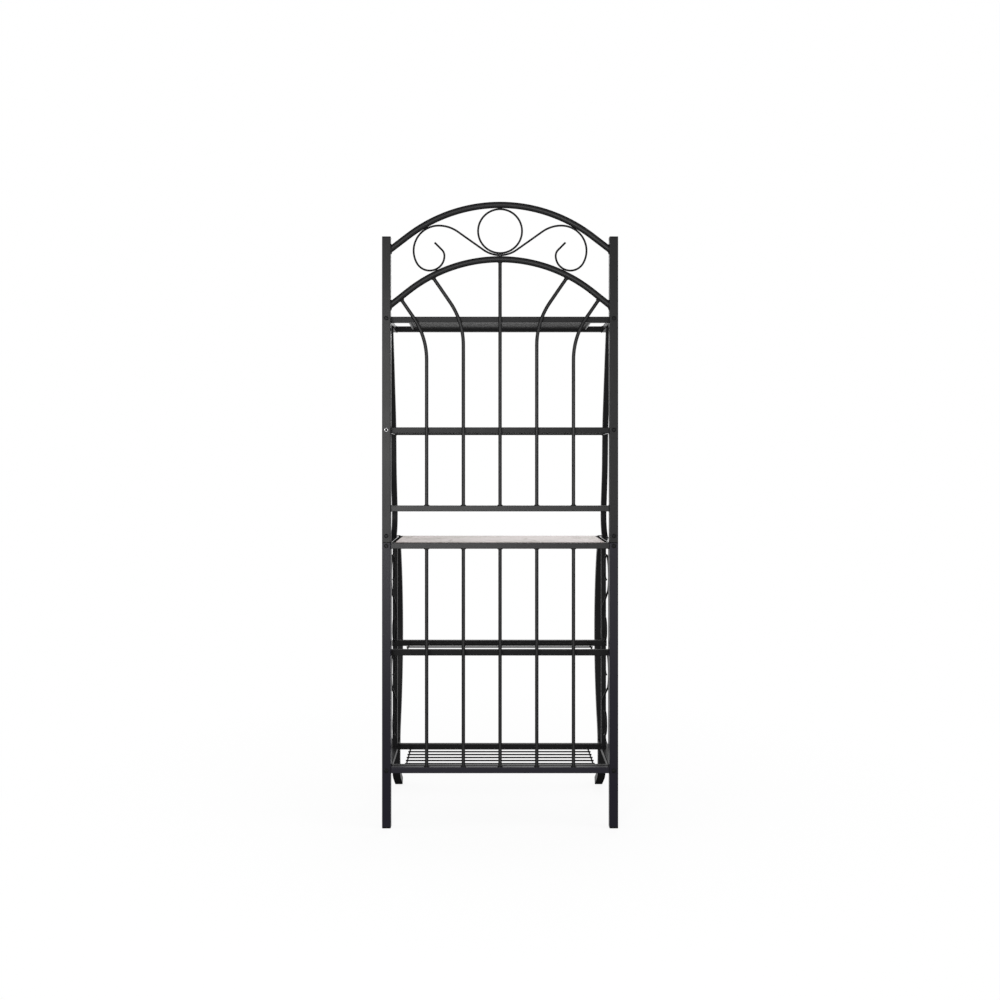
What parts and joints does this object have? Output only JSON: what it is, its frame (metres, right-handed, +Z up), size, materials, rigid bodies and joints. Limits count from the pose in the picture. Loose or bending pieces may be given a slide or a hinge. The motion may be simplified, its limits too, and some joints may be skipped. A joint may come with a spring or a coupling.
{
  "type": "bakers rack",
  "caption": "Free-standing black steel bakers rack: an arched, scrolled back with wire shelves above a marble-look worktop on cabriole front legs.",
  "frame": {"origin": "on the floor under the middle of the rack's overall width and depth", "axes": "+Z up, +Y from the grille at the rear towards the front legs, +X across the width; the pictured rear side faces -Y"},
  "size_m": [0.6, 0.3856, 1.5943],
  "materials": {
    "coated_steel": "semi-gloss black powder coat",
    "coated_wire": "semi-gloss black powder coat",
    "marble_board": "pale marble-look laminate, satin",
    "zinc_fasteners": "zinc plated",
    "bare_steel": "mill finish, hidden inside the tubes",
    "plastic_caps": "black moulded plastic, slightly glossy"
  },
  "bodies": {
    "root": {"bottom_rear_rail": "coated_steel", "bottom_shelf_front_bar": "coated_steel", "bottom_shelf_grid": "coated_wire", "bottom_shelf_rear_bar": "coated_steel", "bottom_shelf_side_rail_left": "coated_steel", "bottom_shelf_side_rail_right": "coated_steel", "crest_ring": "coated_wire", "crest_scroll_left": "coated_wire", "crest_scroll_right": "coated_wire", "frame_bolts": "zinc_fasteners", "front_foot_boots": "plastic_caps", "front_leg_left": "coated_steel", "front_leg_right": "coated_steel", "inner_arch": "coated_steel", "joint_sleeves": "bare_steel", "lower_post_left": "coated_steel", "lower_post_right": "coated_steel", "lower_rod_centre": "coated_steel", "lower_rod_inner_left": "coated_steel", "lower_rod_inner_right": "coated_steel", "lower_rod_outer_left": "coated_steel", "lower_rod_outer_right": "coated_steel", "middle_shelf_front_bar": "coated_steel", "middle_shelf_grid": "coated_wire", "middle_shelf_rear_bar": "coated_steel", "outer_arch": "coated_steel", "post_caps": "plastic_caps", "rail_and_leg_caps": "plastic_caps", "rail_inserts": "bare_steel", "rear_foot_caps": "plastic_caps", "second_shelf_front_bar": "coated_steel", "second_shelf_grid": "coated_wire", "second_shelf_rear_bar": "coated_steel", "second_shelf_side_rails": "coated_steel", "shelf_screws": "zinc_fasteners", "side_bow_left": "coated_steel", "side_bow_right": "coated_steel", "side_scrolls_left": "coated_wire", "side_scrolls_right": "coated_wire", "side_uprights_left": "coated_steel", "side_uprights_right": "coated_steel", "top_shelf_front_bar": "coated_steel", "top_shelf_grid": "coated_wire", "top_shelf_rear_bar": "coated_steel", "top_shelf_side_rails": "coated_steel", "upper_post_left": "coated_steel", "upper_post_right": "coated_steel", "upper_rear_rail": "coated_steel", "upper_rod_centre": "coated_steel", "upper_rod_inner_left": "coated_steel", "upper_rod_inner_right": "coated_steel", "upper_rod_outer_left": "coated_steel", "upper_rod_outer_right": "coated_steel", "worktop_board": "marble_board", "worktop_front_rail": "coated_steel", "worktop_ledges": "coated_steel", "worktop_rear_rail": "coated_steel", "worktop_side_rail_left": "coated_steel", "worktop_side_rail_right": "coated_steel", "worktop_strips": "coated_steel"}
  },
  "joints": []
}
